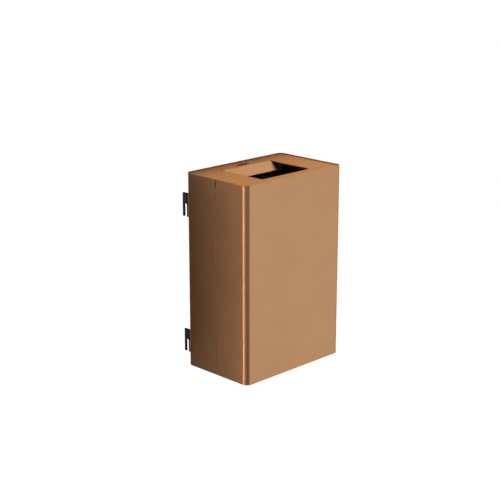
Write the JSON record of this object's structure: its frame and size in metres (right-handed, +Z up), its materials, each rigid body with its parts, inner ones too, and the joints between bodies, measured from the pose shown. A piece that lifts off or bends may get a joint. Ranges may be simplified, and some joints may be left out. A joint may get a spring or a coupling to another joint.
{
  "type": "wall ashtray bin",
  "caption": "Wall-hung litter and ashtray bin of folded sheet with a tilting front, recessed top with stub-out flap and cigarette slot, liner, ash box and rear hooks.",
  "frame": {"origin": "on the wall plane, on the centreline of the bin, level with the underside of the body", "axes": "+X to the right seen from the front, +Y into the wall, +Z up; the front panel faces -Y"},
  "size_m": [0.302, 0.218, 0.45],
  "materials": {
    "copper_paint": "satin metallic powder coat",
    "black_paint": "matt black powder coat",
    "zinc_plate": "bright zinc plating",
    "galvanised": "galvanised sheet",
    "black_plastic": "matt",
    "bumper_rubber": "matt"
  },
  "bodies": {
    "rear": {"rear_shell": "copper_paint", "base_plate": "copper_paint", "left_jamb": "copper_paint", "right_jamb": "copper_paint", "top_rail": "copper_paint", "top_plate": "copper_paint", "upper_left_hook": "black_paint", "upper_right_hook": "black_paint", "lower_left_hook": "black_paint", "lower_right_hook": "black_paint", "top_plate_bolts": "zinc_plate", "top_plate_nuts": "zinc_plate", "top_plate_screws": "zinc_plate", "hook_bolts": "zinc_plate", "hook_nuts": "zinc_plate", "magnet_screws": "zinc_plate", "guide_screws": "zinc_plate", "hinge_rod": "zinc_plate", "hinge_clips": "zinc_plate", "left_ash_hanger": "zinc_plate", "right_ash_hanger": "zinc_plate", "slot_sleeve": "black_paint", "left_magnet": "black_plastic", "right_magnet": "black_plastic", "left_stay_guide": "black_plastic", "right_stay_guide": "black_plastic", "base_bumpers": "bumper_rubber"},
    "door": {"front_shell": "copper_paint", "door_tray": "copper_paint", "left_stay": "zinc_plate", "right_stay": "zinc_plate", "stay_studs": "zinc_plate", "stay_nuts": "zinc_plate", "stay_stop_pins": "zinc_plate", "left_striker": "copper_paint", "right_striker": "copper_paint", "liner": "galvanised"},
    "ash_tray": {"ash_box": "galvanised"}
  },
  "joints": [
    {"name": "door_tilt", "type": "hinge", "parent": "rear", "child": "door", "pos_m": [0, -0.206, 0.006], "axis": [1, 0, 0], "range_deg": [0, 28]},
    {"name": "ash_box_lift", "type": "slide", "parent": "rear", "child": "ash_tray", "axis": [0, 0, 1], "range_m": [0, 0.012]}
  ]
}
